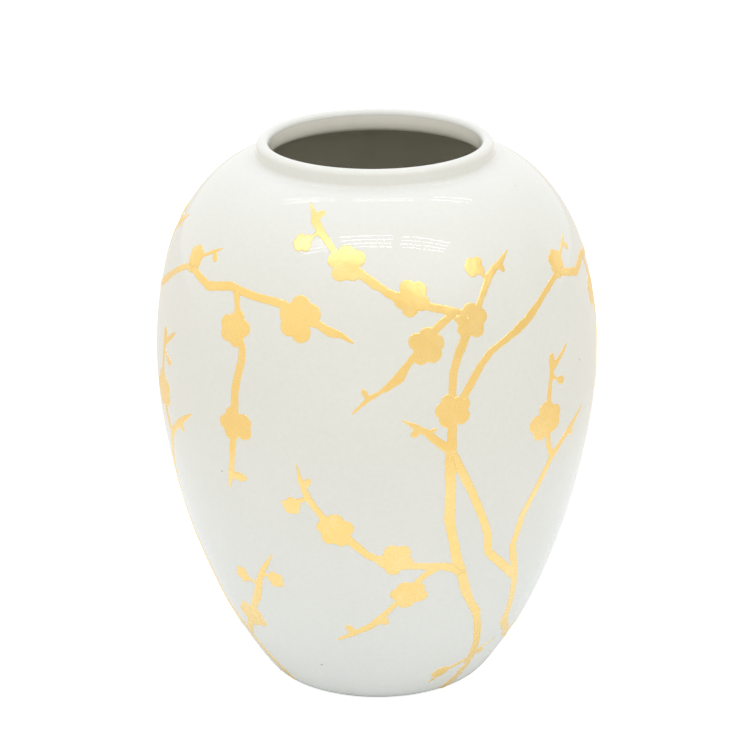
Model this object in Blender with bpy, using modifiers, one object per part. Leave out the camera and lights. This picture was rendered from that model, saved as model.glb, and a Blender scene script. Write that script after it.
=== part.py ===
"""Porcelain vase with raised gilt prunus branches, in metres, +Z up, standing on z = 0.

The body is one turned piece: an ovoid wall, a short collar with a round lip, and a foot ring round
a recessed base. The gilding is one tree design, laid three times round the wall, limb by limb. A
limb is drawn flat, as strokes, blossoms and buds joined by Boolean unions, cut clear of the limb
that it springs from, then cut along the facets of the wall and laid on it. The second and third
trees are copies of the first, apart from the limbs that SWINGS and REPEATS name.

Places on the wall are an angle in degrees, 0 at -Y and growing towards +X, and a height. Lengths in
the constants are millimetres, which MM turns into metres.
"""
import bisect
import math

import bmesh
import bpy
from mathutils import Vector

MM = 0.001

# Body
HEIGHT = 305.0
COLLAR_FOOT_HEIGHT = 295.6
LIP_INNER_RADIUS = 57.3
LIP_OUTER_RADIUS = 64.0
LIP_ROUNDING = 3.2
LIP_STEPS = 8
WALL = 5.0
INSIDE_LOW = 14.0
INSIDE_HIGH = 289.0
FOOT_RING_RADIUS = 50.0
BODY_STEPS = 40
RING_SPACING = 18.0

# Sections of the body, as (radius, height): the floor from its middle out, the inside of the neck up
# to the lip, the outside of the collar down from the lip, and the underside in from the foot ring
FLOOR_OUTLINE = [(0.0, 9.0), (40.0, 9.0), (56.0, 11.0)]
NECK_OUTLINE = [(62.6, 292.2), (59.2, 292.8), (57.6, 294.4), (57.2, 297.4)]
COLLAR_OUTLINE = [(63.9, 298.4), (64.1, 296.6)]
BASE_OUTLINE = [(44.0, 0.0), (42.5, 3.0), (20.0, 3.6), (0.0, 3.8)]

# Outside of the wall, as (height, radius), from the foot ring to the foot of the collar
WALL_OUTLINE = [
    (0.0, FOOT_RING_RADIUS), (1.4, 56.2), (4.4, 60.8), (11.8, 66.8), (23.7, 74.7), (41.4, 85.1),
    (65.0, 95.5), (94.6, 105.8), (130.1, 114.5), (165.6, 119.8), (201.0, 120.1), (230.6, 116.0),
    (254.2, 108.8), (272.0, 98.6), (285.3, 86.3), (292.5, 75.0), (COLLAR_FOOT_HEIGHT, 65.6),
]

# Gilding
GILT_GAP = 0.35
GILT_THICKNESS = 0.5
LIMB_GAP = 0.35
CUTTER_THICKNESS = 1.5
FLAT_RADIUS = 120.0
PETAL_REACH = 0.56
PETAL_RADIUS = 0.46
PETAL_ARC_POINTS = 3
BUD_OUTLINE = [(-0.5, 0.0), (-0.34, -0.38), (0.0, -0.5), (0.32, -0.32), (0.5, 0.0),
               (0.32, 0.32), (0.0, 0.5), (-0.34, 0.38)]
SHARP_EDGE = 35.0

# Each repeat of the tree: name, turn in degrees, lift in millimetres, and limbs that it lacks
REPEATS = [("front", 0.0, 0.0, ()), ("left", -121.5, 3.5, ()), ("right", 119.0, 0.5, ("left_bough",))]

# Limbs that were laid swung sideways: degrees, and the heights between which the swing grows
SWING_STEPS = 12
SWINGS = {
    ("side_stem", "front"): [(13.0, 32.0, 20.0)],
    ("low_sprig", "front"): [(13.0, 32.0, 20.0), (20.0, 31.0, 40.0)],
    ("hanging_spray", "front"): [(6.5, 216.0, 180.0)],
}

# A limb springs from another limb, and is made of strokes, blossoms and buds.
# stroke: (angle, height, width) from root to tip
# blossom: (angle, height, radius, width over height, directions of its petals)
# bud: (angle, height, length, width, direction of its length)
LIMBS = {
    "trunk": {
        "from": None,
        "strokes": [
            [(36.5, 4.0, 6.0), (39.5, 11.0, 5.4), (42.0, 20.0, 4.6), (41.3, 29.0, 5.6), (39.0, 41.0, 4.8),
             (36.3, 52.0, 4.6), (34.0, 61.5, 5.2), (30.3, 70.0, 4.4), (27.4, 79.5, 5.6),
             (25.2, 90.0, 5.8), (22.7, 101.0, 6.0), (21.0, 113.0, 5.0), (19.3, 126.0, 5.8),
             (18.9, 145.0, 5.6), (18.6, 160.0, 6.4), (18.7, 171.0, 6.0), (18.9, 182.0, 4.6),
             (19.4, 190.0, 4.0)],
            [(18.2, 168.0, 5.0), (14.8, 174.5, 4.4), (12.0, 179.5, 4.0), (9.0, 183.5, 3.2),
             (6.2, 187.0, 0.8)],
            [(12.6, 178.5, 2.4), (14.2, 180.6, 1.8), (15.8, 181.4, 0.6)],
            [(43.0, 30.0, 3.0), (46.5, 31.3, 1.6), (52.3, 34.0, 0.6)],
            [(41.5, 25.5, 3.4), (37.0, 23.8, 2.6), (32.0, 21.5, 3.0), (28.0, 19.0, 4.0),
             (24.2, 13.0, 1.2)],
        ],
        "blossoms": [(19.2, 190.0, 9.8, 1.02, (35, 115, 175, 232, 322))],
        "buds": [(9.4, 179.4, 5.6, 4.4, 35.0), (45.6, 27.8, 6.4, 3.4, -12.0),
                 (27.7, 19.8, 10.5, 8.4, 25.0)],
    },
    "low_bough": {
        "from": "trunk",
        "strokes": [
            [(25.0, 91.5, 5.8), (22.0, 95.5, 5.4), (19.0, 97.5, 4.8), (14.0, 98.8, 4.4), (9.0, 100.0, 4.2),
             (4.5, 103.5, 4.4), (0.6, 104.0, 4.6), (-3.0, 107.6, 4.4), (-6.0, 113.0, 4.6),
             (-8.6, 118.4, 4.6), (-11.4, 122.0, 4.0), (-14.8, 130.0, 4.2), (-17.4, 137.5, 3.8),
             (-19.0, 144.0, 3.8), (-20.0, 151.0, 3.0), (-20.8, 160.0, 0.8)],
            [(17.0, 97.4, 4.4), (13.3, 92.6, 3.6), (11.0, 88.0, 3.8), (8.6, 81.0, 4.0), (5.2, 75.0, 3.2),
             (2.6, 69.6, 3.2), (0.2, 64.6, 4.4), (-3.0, 59.6, 4.0), (-6.4, 56.4, 3.6),
             (-9.6, 53.4, 3.2), (-14.4, 49.2, 0.7)],
            [(-19.0, 140.2, 2.4), (-21.5, 138.0, 2.0)],
        ],
        "blossoms": [(4.9, 104.4, 9.8, 1.0, (51, 114, 188, 257, 335)),
                     (-11.4, 122.4, 10.0, 1.0, (18, 90, 167, 231, 294)),
                     (9.2, 81.0, 9.2, 1.1, (50, 114, 172, 256, 345)),
                     (-23.2, 134.6, 5.4, 1.0, (20, 90, 165, 235, 310))],
        "buds": [(-18.2, 149.8, 6.2, 4.0, 58.0), (1.9, 63.4, 5.8, 5.0, -50.0),
                 (-9.6, 57.8, 5.6, 4.4, 110.0)],
    },
    "crown": {
        "from": "trunk",
        "strokes": [
            [(19.2, 190.0, 4.0), (18.9, 200.0, 4.2), (19.2, 210.0, 4.4), (20.8, 219.0, 4.8),
             (23.0, 227.6, 5.4), (25.0, 236.0, 5.0), (27.9, 242.4, 3.6), (30.2, 249.4, 3.8),
             (32.2, 254.8, 4.4), (35.0, 258.8, 3.8), (37.4, 260.6, 3.8), (41.6, 265.8, 0.8)],
            [(31.8, 254.4, 2.2), (30.0, 259.0, 2.0)],
        ],
        "blossoms": [(25.2, 235.6, 9.6, 1.0, (18, 88, 150, 225, 301)),
                     (29.0, 261.2, 5.9, 1.0, (50, 130, 178, 228, 320))],
        "buds": [(37.6, 258.4, 5.0, 3.6, -70.0)],
    },
    "left_bough": {
        "from": "crown",
        "strokes": [
            [(24.0, 238.0, 5.0), (20.6, 241.2, 5.0), (17.6, 243.2, 4.8), (14.2, 245.2, 4.4),
             (9.6, 249.6, 4.4), (5.0, 251.0, 4.8), (1.8, 254.6, 4.4), (-1.2, 258.0, 4.8),
             (-4.4, 262.0, 5.0), (-8.5, 266.6, 4.0), (-12.6, 272.0, 3.6), (-15.2, 275.8, 3.8),
             (-18.0, 279.6, 4.0), (-20.8, 284.0, 4.6), (-24.9, 290.6, 0.8)],
            [(20.4, 240.6, 4.0), (17.2, 236.6, 4.4), (14.6, 232.6, 4.2), (12.4, 226.0, 4.2),
             (9.4, 220.6, 3.2), (7.4, 215.6, 3.8), (5.6, 210.0, 5.8), (3.0, 205.6, 4.0),
             (0.4, 202.0, 1.9), (-1.8, 199.6, 2.6), (-6.2, 190.8, 0.8)],
            [(-18.2, 279.8, 2.0), (-21.6, 275.6, 2.0)],
        ],
        "blossoms": [(9.6, 250.0, 9.8, 0.96, (45, 111, 190, 255, 330)),
                     (-8.5, 266.4, 9.9, 1.03, (30, 93, 165, 241, 304)),
                     (12.6, 225.4, 10.0, 0.98, (15, 80, 150, 238, 312)),
                     (-22.8, 274.2, 5.4, 1.05, (50, 130, 185, 235, 315))],
        "buds": [(-19.6, 286.6, 5.2, 4.2, 60.0), (-3.0, 201.8, 5.6, 3.0, 112.0)],
    },
    "right_bough": {
        "from": "trunk",
        "strokes": [
            [(20.4, 192.0, 5.0), (22.6, 199.0, 4.6), (24.6, 205.4, 4.6), (27.0, 212.4, 4.4),
             (30.0, 218.4, 3.8), (34.0, 222.2, 3.6), (38.0, 225.8, 4.4), (42.0, 229.4, 5.0),
             (46.0, 234.0, 4.6), (50.0, 239.0, 3.8), (54.0, 243.0, 3.4), (57.6, 245.6, 3.8),
             (60.2, 246.8, 4.0)],
            [(59.4, 245.6, 4.6), (59.8, 252.0, 4.2)],
            [(61.6, 252.4, 2.4), (64.2, 254.8, 2.0), (67.0, 257.6, 2.2), (71.2, 261.2, 0.7)],
            [(68.2, 258.4, 1.8), (69.4, 255.8, 1.8)],
        ],
        "blossoms": [(60.2, 252.2, 6.8, 1.08, (30, 95, 155, 215, 318))],
        "buds": [(69.2, 255.6, 5.0, 3.8, -35.0)],
    },
    "far_bough": {
        "from": "right_bough",
        "strokes": [
            [(58.6, 246.2, 4.0), (61.5, 246.0, 4.0), (66.0, 243.4, 4.4), (70.2, 241.4, 5.4),
             (74.6, 243.4, 4.6), (78.2, 245.0, 4.6), (82.0, 244.2, 4.4), (87.0, 242.8, 4.2),
             (92.0, 242.2, 4.4), (96.5, 241.2, 4.8), (101.0, 236.0, 5.0), (106.6, 233.0, 4.4),
             (109.6, 229.8, 5.2), (112.4, 228.4, 3.4), (115.6, 224.8, 0.8)],
        ],
        "blossoms": [(101.2, 235.0, 12.2, 0.96, (25, 92, 162, 216, 280))],
        "buds": [],
    },
    "hanging_spray": {
        "from": "far_bough",
        "strokes": [
            [(80.8, 244.6, 4.6), (82.0, 237.0, 3.6), (83.0, 225.0, 4.6), (85.2, 215.0, 4.6),
             (85.2, 208.0, 4.6), (84.2, 199.6, 4.8), (83.4, 192.0, 4.8), (83.2, 182.6, 5.6),
             (83.2, 172.6, 5.0), (82.2, 163.0, 4.2), (81.4, 153.0, 3.4), (80.4, 143.6, 4.2),
             (79.0, 135.0, 1.6)],
        ],
        "blossoms": [(82.2, 224.6, 9.8, 1.02, (8, 78, 160, 216, 285)),
                     (83.4, 172.4, 10.0, 1.08, (28, 108, 177, 238, 329))],
        "buds": [(83.0, 142.4, 10.4, 5.2, 4.0)],
    },
    "side_stem": {
        "from": "trunk",
        "strokes": [
            [(18.6, 168.0, 5.0), (21.4, 156.4, 4.6), (25.4, 140.0, 4.6), (28.8, 126.0, 4.4),
             (31.6, 113.6, 4.8), (33.0, 101.4, 5.2), (36.4, 95.0, 4.8), (40.8, 88.0, 5.0),
             (45.6, 80.4, 5.0)],
            [(70.8, 4.0, 5.2), (67.6, 11.0, 5.4), (63.4, 20.0, 5.2), (61.2, 28.0, 5.0),
             (58.8, 36.0, 5.0), (54.6, 40.6, 5.4), (51.4, 46.6, 6.4), (50.8, 56.0, 5.0), (49.4, 66.0, 4.8),
             (47.4, 76.0, 5.0), (45.6, 84.6, 4.6), (43.6, 92.6, 4.6), (42.0, 100.6, 4.8),
             (42.8, 110.0, 4.4), (43.4, 118.6, 4.8), (46.2, 129.0, 4.2), (49.4, 140.0, 4.4),
             (52.0, 149.0, 4.6), (55.6, 154.6, 3.8), (59.6, 160.4, 4.6), (66.4, 169.4, 0.8)],
            [(51.8, 149.6, 4.0), (49.8, 157.0, 3.6), (48.4, 172.0, 4.0), (48.8, 184.0, 3.6),
             (49.4, 192.0, 3.2), (50.2, 199.0, 3.8), (54.0, 204.6, 2.8), (58.0, 210.4, 0.7)],
            [(50.0, 196.6, 2.2), (51.6, 193.6, 2.0), (53.6, 191.6, 2.4)],
        ],
        "blossoms": [(48.0, 171.8, 10.8, 1.18, (23, 92, 182, 238, 329))],
        "buds": [(50.3, 203.6, 9.6, 5.0, 86.0), (53.8, 191.4, 7.4, 4.6, -20.0),
                 (60.6, 158.0, 5.6, 3.6, -60.0)],
    },
    "low_sprig": {
        "from": "side_stem",
        "strokes": [
            [(60.8, 31.5, 5.0), (64.6, 36.6, 4.8), (71.4, 48.6, 4.8), (75.2, 57.0, 4.0), (78.6, 64.6, 5.0),
             (81.0, 72.4, 4.6), (83.2, 80.0, 3.8), (85.4, 86.6, 3.0), (90.0, 97.6, 0.8)],
            [(80.6, 74.6, 2.2), (78.2, 76.6, 2.0), (76.0, 77.6, 2.4)],
            [(84.4, 82.8, 2.0), (88.0, 82.4, 2.2)],
        ],
        "blossoms": [(71.4, 48.8, 8.8, 1.22, (40, 105, 182, 250, 335)),
                     (75.4, 78.0, 5.3, 1.0, (60, 125, 195, 262, 330)),
                     (89.2, 81.2, 5.4, 1.0, (45, 110, 180, 245, 320))],
        "buds": [],
    },
}

PORCELAIN_COLOUR = (0.73, 0.735, 0.70, 1.0)
PORCELAIN_ROUGHNESS = 0.05
GILT_COLOUR = (1.0, 0.76, 0.34, 1.0)
GILT_ROUGHNESS = 0.3

# Distances on the drawing below which two places are one
SAME_POINT = 0.0001
SAME_LINE = 0.000001
CUT_REACH = 0.002


def clear_scene():
    for item in list(bpy.data.objects):
        bpy.data.objects.remove(item, do_unlink=True)


def new_collection(name):
    collection = bpy.data.collections.new(name)
    bpy.context.scene.collection.children.link(collection)
    return collection


def new_material(name, colour, metallic, roughness):
    material = bpy.data.materials.new(name)
    material.use_nodes = True
    shader = material.node_tree.nodes["Principled BSDF"]
    shader.inputs["Base Color"].default_value = colour
    shader.inputs["Metallic"].default_value = metallic
    shader.inputs["Roughness"].default_value = roughness
    return material


def through_points(before, start, end, after, t):
    """Point at t, from 0 to 1, on the centripetal Catmull-Rom span from start to end."""
    p0, p1, p2, p3 = (Vector(point) for point in (before, start, end, after))
    k1 = math.sqrt((p1 - p0).length)
    k2 = k1 + math.sqrt((p2 - p1).length)
    k3 = k2 + math.sqrt((p3 - p2).length)
    k = k1 + t * (k2 - k1)
    a1 = p0.lerp(p1, k / k1)
    a2 = p1.lerp(p2, (k - k1) / (k2 - k1))
    a3 = p2.lerp(p3, (k - k2) / (k3 - k2))
    b1 = a1.lerp(a2, k / k2)
    b2 = a2.lerp(a3, (k - k1) / (k3 - k1))
    return b1.lerp(b2, (k - k1) / (k2 - k1))


def smooth_outline(points, spacing):
    """The curve through the points, each span divided into steps of about the spacing."""
    first = Vector(points[0]) * 2 - Vector(points[1])
    last = Vector(points[-1]) * 2 - Vector(points[-2])
    padded = [first] + [Vector(point) for point in points] + [last]
    outline = []
    for before, start, end, after in zip(padded, padded[1:], padded[2:], padded[3:]):
        steps = max(1, round((end - start).length / spacing))
        for step in range(steps):
            outline.append(through_points(before, start, end, after, step / steps))
    outline.append(Vector(points[-1]))
    return outline


class Wall:
    """The facets of the outside of the wall, and where a place on a flat drawing lies on them."""

    def __init__(self, rings):
        self.rings = rings
        self.arc = [0.0]
        for low, high in zip(rings, rings[1:]):
            self.arc.append(self.arc[-1] + (high - low).length)
        self.outward = [self.mitre(index) for index in range(len(rings))]

    def mitre(self, index):
        """How far a ring's (height, radius) moves when its facets move out by one."""
        normals = []
        for low, high in zip(self.rings[max(index - 1, 0):index + 1], self.rings[max(index, 1):index + 2]):
            along = (high - low).normalized()
            normals.append(Vector((-along.y, along.x)))
        middle = sum(normals, Vector((0.0, 0.0))).normalized()
        return middle / middle.dot(normals[0])

    def at_height(self, height):
        """Arc length from the foot and radius at a height."""
        heights = [ring.x for ring in self.rings]
        index = min(max(bisect.bisect_right(heights, height) - 1, 0), len(heights) - 2)
        share = (height - heights[index]) / (heights[index + 1] - heights[index])
        arc = self.arc[index] + share * (self.arc[index + 1] - self.arc[index])
        radius = self.rings[index].lerp(self.rings[index + 1], share).y
        return arc, radius

    def flat(self, angle, height, east=0.0, north=0.0):
        """The place on the drawing that lies east and north of an angle and height on the wall."""
        arc, radius = self.at_height(height)
        return Vector((FLAT_RADIUS * (math.radians(angle) + east / radius), arc + north))

    def wrap(self, across, arc, proud):
        """The point on the wall's facets, moved out by proud, for a place on the drawing."""
        step = math.tau / BODY_STEPS
        turn = math.floor(across / FLAT_RADIUS / step + SAME_LINE)
        side = across / FLAT_RADIUS / step - turn
        index = min(max(bisect.bisect_right(self.arc, arc + SAME_LINE) - 1, 0), len(self.arc) - 2)
        share = (arc - self.arc[index]) / (self.arc[index + 1] - self.arc[index])
        low = self.rings[index] + self.outward[index] * proud
        high = self.rings[index + 1] + self.outward[index + 1] * proud
        height, radius = low.lerp(high, share)
        near = Vector((math.sin(turn * step), -math.cos(turn * step)))
        far = Vector((math.sin((turn + 1) * step), -math.cos((turn + 1) * step)))
        plan = near.lerp(far, side) * radius
        return Vector((plan.x, plan.y, height)) * MM


def body_profile(wall):
    """The body's section as (radius, height), from the middle of the floor out to that of the base."""
    inner = []
    for ring, outward in zip(wall.rings, wall.outward):
        inside = ring - outward * WALL
        if INSIDE_LOW < inside.x < INSIDE_HIGH:
            inner.append((inside.y, inside.x))
    lip_middle = (LIP_INNER_RADIUS + LIP_OUTER_RADIUS) / 2
    half_lip = (LIP_OUTER_RADIUS - LIP_INNER_RADIUS) / 2
    lip = []
    for step in range(LIP_STEPS + 1):
        turn = math.pi * step / LIP_STEPS
        lip.append((lip_middle - half_lip * math.cos(turn),
                    HEIGHT - LIP_ROUNDING + LIP_ROUNDING * math.sin(turn)))
    outer = [(ring.y, ring.x) for ring in reversed(wall.rings)]
    return FLOOR_OUTLINE + inner[::2] + NECK_OUTLINE + lip + COLLAR_OUTLINE + outer + BASE_OUTLINE


def turned_body(wall, collection, material):
    mesh = bpy.data.meshes.new("porcelain_body")
    points = [(radius * MM, 0.0, height * MM) for radius, height in body_profile(wall)]
    edges = [(index, index + 1) for index in range(len(points) - 1)]
    mesh.from_pydata(points, edges, [])
    body = bpy.data.objects.new("porcelain_body", mesh)
    collection.objects.link(body)
    body.data.materials.append(material)
    screw = body.modifiers.new("turn", "SCREW")
    screw.axis = "Z"
    screw.angle = math.tau
    screw.steps = BODY_STEPS
    screw.render_steps = BODY_STEPS
    screw.use_merge_vertices = True
    screw.merge_threshold = SAME_POINT * MM
    screw.use_smooth_shade = True


def stroke_outline(wall, stroke):
    """Both sides of a branch, as an outline on the drawing."""
    centre = [wall.flat(angle, height) for angle, height, width in stroke]
    left = []
    right = []
    for index, (angle, height, width) in enumerate(stroke):
        radius = wall.at_height(height)[1]
        along = centre[min(index + 1, len(centre) - 1)] - centre[max(index - 1, 0)]
        along = Vector((along.x * radius / FLAT_RADIUS, along.y)).normalized()
        side = Vector((-along.y, along.x)) * width / 2
        left.append(wall.flat(angle, height, side.x, side.y))
        right.append(wall.flat(angle, height, -side.x, -side.y))
    return right + left[::-1]


def blossom_outline(wall, angle, height, radius, stretch, petals):
    """Round petals, each in its own direction, with a notch between each two."""
    reach = PETAL_REACH * radius
    petal_radius = PETAL_RADIUS * radius
    notches = []
    for petal, following in zip(petals, petals[1:] + (petals[0] + 360,)):
        half = math.radians(following - petal) / 2
        length = reach * math.cos(half) + math.sqrt(petal_radius ** 2 - (reach * math.sin(half)) ** 2)
        notches.append((math.radians(petal) + half, length))
    outline = []
    for index, petal in enumerate(petals):
        way = math.radians(petal)
        middle = Vector((math.cos(way), math.sin(way))) * reach
        bends = []
        for direction, length in (notches[index - 1], notches[index]):
            corner = Vector((math.cos(direction), math.sin(direction))) * length - middle
            bends.append(way + wrapped_angle(math.atan2(corner.y, corner.x) - way))
        for point in range(PETAL_ARC_POINTS + 1):
            bend = bends[0] + (bends[1] - bends[0]) * point / (PETAL_ARC_POINTS + 1)
            place = middle + Vector((math.cos(bend), math.sin(bend))) * petal_radius
            outline.append(wall.flat(angle, height, place.x * stretch, place.y))
    return outline


def wrapped_angle(angle):
    """The same direction as an angle within half a turn of zero."""
    return (angle + math.pi) % math.tau - math.pi


def bud_outline(wall, angle, height, length, width, direction):
    """An oval bud with a blunt point at its far end."""
    turn = math.radians(direction)
    outline = []
    for along, across in BUD_OUTLINE:
        east = along * length * math.cos(turn) - across * width * math.sin(turn)
        north = along * length * math.sin(turn) + across * width * math.cos(turn)
        outline.append(wall.flat(angle, height, east, north))
    return outline


def flat_outlines(wall, limb, grown=0.0):
    """Every outline of a limb, with its strokes, blossoms and buds grown all round."""
    outlines = []
    for stroke in limb["strokes"]:
        outlines.append(stroke_outline(wall, [(angle, height, width + 2 * grown)
                                              for angle, height, width in stroke]))
    for angle, height, radius, stretch, petals in limb["blossoms"]:
        outlines.append(blossom_outline(wall, angle, height, radius + grown, stretch, petals))
    for angle, height, length, width, direction in limb["buds"]:
        outlines.append(bud_outline(wall, angle, height, length + 2 * grown, width + 2 * grown, direction))
    return outlines


def flat_solid(outline, thickness, collection):
    """A flat outline as a closed plate, centred on z = 0, on the drawing in millimetres."""
    curve = bpy.data.curves.new("outline", "CURVE")
    curve.dimensions = "2D"
    curve.fill_mode = "BOTH"
    curve.extrude = thickness / 2
    spline = curve.splines.new("POLY")
    spline.points.add(len(outline) - 1)
    for point, place in zip(spline.points, outline):
        point.co = (place.x, place.y, 0.0, 1.0)
    spline.use_cyclic_u = True
    drawn = bpy.data.objects.new("outline", curve)
    collection.objects.link(drawn)
    plate = evaluated_copy(drawn, collection)
    bpy.data.objects.remove(drawn)
    bpy.data.curves.remove(curve)
    tidy = bmesh.new()
    tidy.from_mesh(plate.data)
    bmesh.ops.remove_doubles(tidy, verts=tidy.verts, dist=SAME_POINT)
    bmesh.ops.recalc_face_normals(tidy, faces=tidy.faces)
    tidy.to_mesh(plate.data)
    tidy.free()
    return plate


def evaluated_copy(source, collection):
    bpy.context.view_layer.update()
    depsgraph = bpy.context.evaluated_depsgraph_get()
    mesh = bpy.data.meshes.new_from_object(source.evaluated_get(depsgraph))
    copy = bpy.data.objects.new(source.name, mesh)
    copy.matrix_world = source.matrix_world
    collection.objects.link(copy)
    return copy


def combined(base, other, operation, collection):
    """The Boolean of two plates, which replaces both."""
    modifier = base.modifiers.new(operation.lower(), "BOOLEAN")
    modifier.operation = operation
    modifier.solver = "EXACT"
    modifier.object = other
    result = evaluated_copy(base, collection)
    bpy.data.objects.remove(base)
    bpy.data.objects.remove(other)
    return result


def flat_limb(wall, name, collection):
    """One limb of the tree as a single plate, cut clear of the limb that it springs from."""
    limb = LIMBS[name]
    plates = [flat_solid(outline, GILT_THICKNESS, collection) for outline in flat_outlines(wall, limb)]
    plate = plates[0]
    for other in plates[1:]:
        plate = combined(plate, other, "UNION", collection)
    if limb["from"]:
        for outline in flat_outlines(wall, LIMBS[limb["from"]], LIMB_GAP):
            cutter = flat_solid(outline, CUTTER_THICKNESS, collection)
            plate = combined(plate, cutter, "DIFFERENCE", collection)
        drop_offcuts(plate)
    return plate


def drop_offcuts(plate):
    """Keeps the largest of the pieces that a cut has left."""
    shape = bmesh.new()
    shape.from_mesh(plate.data)
    waiting = set(shape.verts)
    pieces = []
    while waiting:
        piece = {waiting.pop()}
        newest = list(piece)
        while newest:
            vert = newest.pop()
            near = {edge.other_vert(vert) for edge in vert.link_edges} & waiting
            waiting -= near
            piece |= near
            newest += near
        pieces.append(piece)
    pieces.sort(key=len)
    for piece in pieces[:-1]:
        bmesh.ops.delete(shape, geom=list(piece), context="VERTS")
    shape.to_mesh(plate.data)
    shape.free()


def swing(wall, shape, degrees, start_height, end_height):
    """Moves a flat limb sideways, more and more from one height to the other."""
    start = wall.at_height(start_height)[0]
    end = wall.at_height(end_height)[0]
    for step in range(SWING_STEPS + 1):
        cut(shape, (0.0, start + (end - start) * step / SWING_STEPS, 0.0), (0.0, 1.0, 0.0))
    for vert in shape.verts:
        share = min(max((vert.co.y - start) / (end - start), 0.0), 1.0)
        vert.co.x += FLAT_RADIUS * math.radians(degrees) * share * share * (3.0 - 2.0 * share)


def laid_limb(wall, plate, limb_name, repeat, turn, lift, collection, material):
    """The limb laid on the wall: cut along the wall's facets, then every point moved onto them."""
    shape = bmesh.new()
    shape.from_mesh(plate.data)
    for sideways in SWINGS.get((limb_name, repeat), []):
        swing(wall, shape, *sideways)
    bmesh.ops.translate(shape, vec=(FLAT_RADIUS * math.radians(turn), lift, 0.0), verts=shape.verts)
    across = [vert.co.x for vert in shape.verts]
    facet = FLAT_RADIUS * math.tau / BODY_STEPS
    for column in range(math.ceil(min(across) / facet), math.floor(max(across) / facet) + 1):
        cut(shape, (column * facet, 0.0, 0.0), (1.0, 0.0, 0.0))
    for arc in wall.arc[1:-1]:
        cut(shape, (0.0, arc, 0.0), (0.0, 1.0, 0.0))
    for vert in shape.verts:
        proud = GILT_GAP + GILT_THICKNESS / 2 + vert.co.z
        vert.co = wall.wrap(vert.co.x, vert.co.y, proud)
    name = f"gilt_{limb_name}_{repeat}"
    mesh = bpy.data.meshes.new(name)
    shape.to_mesh(mesh)
    shape.free()
    mesh.materials.clear()
    mesh.materials.append(material)
    mesh.shade_smooth()
    mesh.set_sharp_from_angle(angle=math.radians(SHARP_EDGE))
    limb = bpy.data.objects.new(name, mesh)
    collection.objects.link(limb)


def cut(shape, place, normal):
    geometry = shape.verts[:] + shape.edges[:] + shape.faces[:]
    bmesh.ops.bisect_plane(shape, geom=geometry, dist=CUT_REACH, plane_co=place, plane_no=normal)


def main():
    clear_scene()
    parts = new_collection("porcelain_vase")
    drawing = new_collection("flat_drawing")
    glaze = new_material("glazed_porcelain", PORCELAIN_COLOUR, 0.0, PORCELAIN_ROUGHNESS)
    gilt = new_material("raised_gilding", GILT_COLOUR, 1.0, GILT_ROUGHNESS)
    wall = Wall(smooth_outline(WALL_OUTLINE, RING_SPACING))
    turned_body(wall, parts, glaze)
    for limb_name in LIMBS:
        plate = flat_limb(wall, limb_name, drawing)
        for repeat, turn, lift, missing in REPEATS:
            if limb_name not in missing:
                laid_limb(wall, plate, limb_name, repeat, turn, lift, parts, gilt)
        bpy.data.objects.remove(plate)


main()
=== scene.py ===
"""A porcelain vase with raised gilt branches, in metres, +Z up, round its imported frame.

The body is one surface of revolution. The gilding is one tree, drawn flat as a field of distances
to its outline, cut into limbs, and laid three times on the glaze as a thin layer with rounded edges.

Places on the wall are an angle in degrees, 0 at -Y and growing towards +X, and a height. Lengths in
the constants are millimetres, which MM turns into metres.
"""
import math

import bpy
import numpy as np
from mathutils import Matrix, Vector
from mathutils.geometry import delaunay_2d_cdt


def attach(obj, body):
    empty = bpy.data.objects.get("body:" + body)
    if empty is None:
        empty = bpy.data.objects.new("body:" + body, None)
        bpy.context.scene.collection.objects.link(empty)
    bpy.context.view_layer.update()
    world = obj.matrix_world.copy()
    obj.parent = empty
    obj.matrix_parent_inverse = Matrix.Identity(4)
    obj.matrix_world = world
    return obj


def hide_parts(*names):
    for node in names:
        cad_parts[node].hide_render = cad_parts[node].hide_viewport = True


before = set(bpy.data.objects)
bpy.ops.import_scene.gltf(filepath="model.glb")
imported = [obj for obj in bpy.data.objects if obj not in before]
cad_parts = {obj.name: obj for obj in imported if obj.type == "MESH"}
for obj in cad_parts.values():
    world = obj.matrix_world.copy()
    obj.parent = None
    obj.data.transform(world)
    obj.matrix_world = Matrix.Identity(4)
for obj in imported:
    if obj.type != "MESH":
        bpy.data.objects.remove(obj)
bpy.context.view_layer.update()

MM = 0.001

# Body
HEIGHT = 305.0
COLLAR_FOOT_HEIGHT = 295.6
LIP_INNER_RADIUS = 57.3
LIP_OUTER_RADIUS = 64.0
LIP_ROUNDING = 3.2
LIP_STEPS = 20
WALL = 5.0
INSIDE_LOW = 18.0
INSIDE_HIGH = 287.4
# From this height up to the lip, the inside of the neck takes a paler glaze: painted light for the light
# that falls into the neck
NECK_PAINTED_LIGHT_HEIGHT = 291.5
FOOT_RING_RADIUS = 50.0
FOOT_RING_CORNER = 0.8
CORNER_STEPS = 6
BARE_HEIGHT = 1.0
BARE_INNER_RADIUS = 43.8
BARE_OUTER_RADIUS = 50.2
BARE_SLOT = 1
INSIDE_SLOT = 2
NECK_PAINTED_LIGHT_SLOT = 3
BODY_STEPS = 256
BODY_SPACING = 2.5
COLLAR_SPACING = 0.8

# Sections of the body, as (radius, height): the floor from its middle out, the inside of the neck up
# to the lip, the outside of the collar down from the lip, and the underside in from the foot ring
FLOOR_OUTLINE = [(0.0, 9.0), (20.0, 9.1), (40.0, 9.8)]
NECK_OUTLINE = [(67.5, 291.0), (62.6, 292.1), (59.6, 292.7), (58.0, 293.7), (57.3, 295.2), (57.1, 298.2)]
COLLAR_OUTLINE = [(64.1, 299.0), (64.3, 297.0)]
FOOT_RING_INNER_RADIUS = 44.0
BASE_OUTLINE = [(43.4, 2.4), (41.8, 3.0), (30.0, 3.4), (15.0, 3.7), (0.0, 3.8)]

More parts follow.
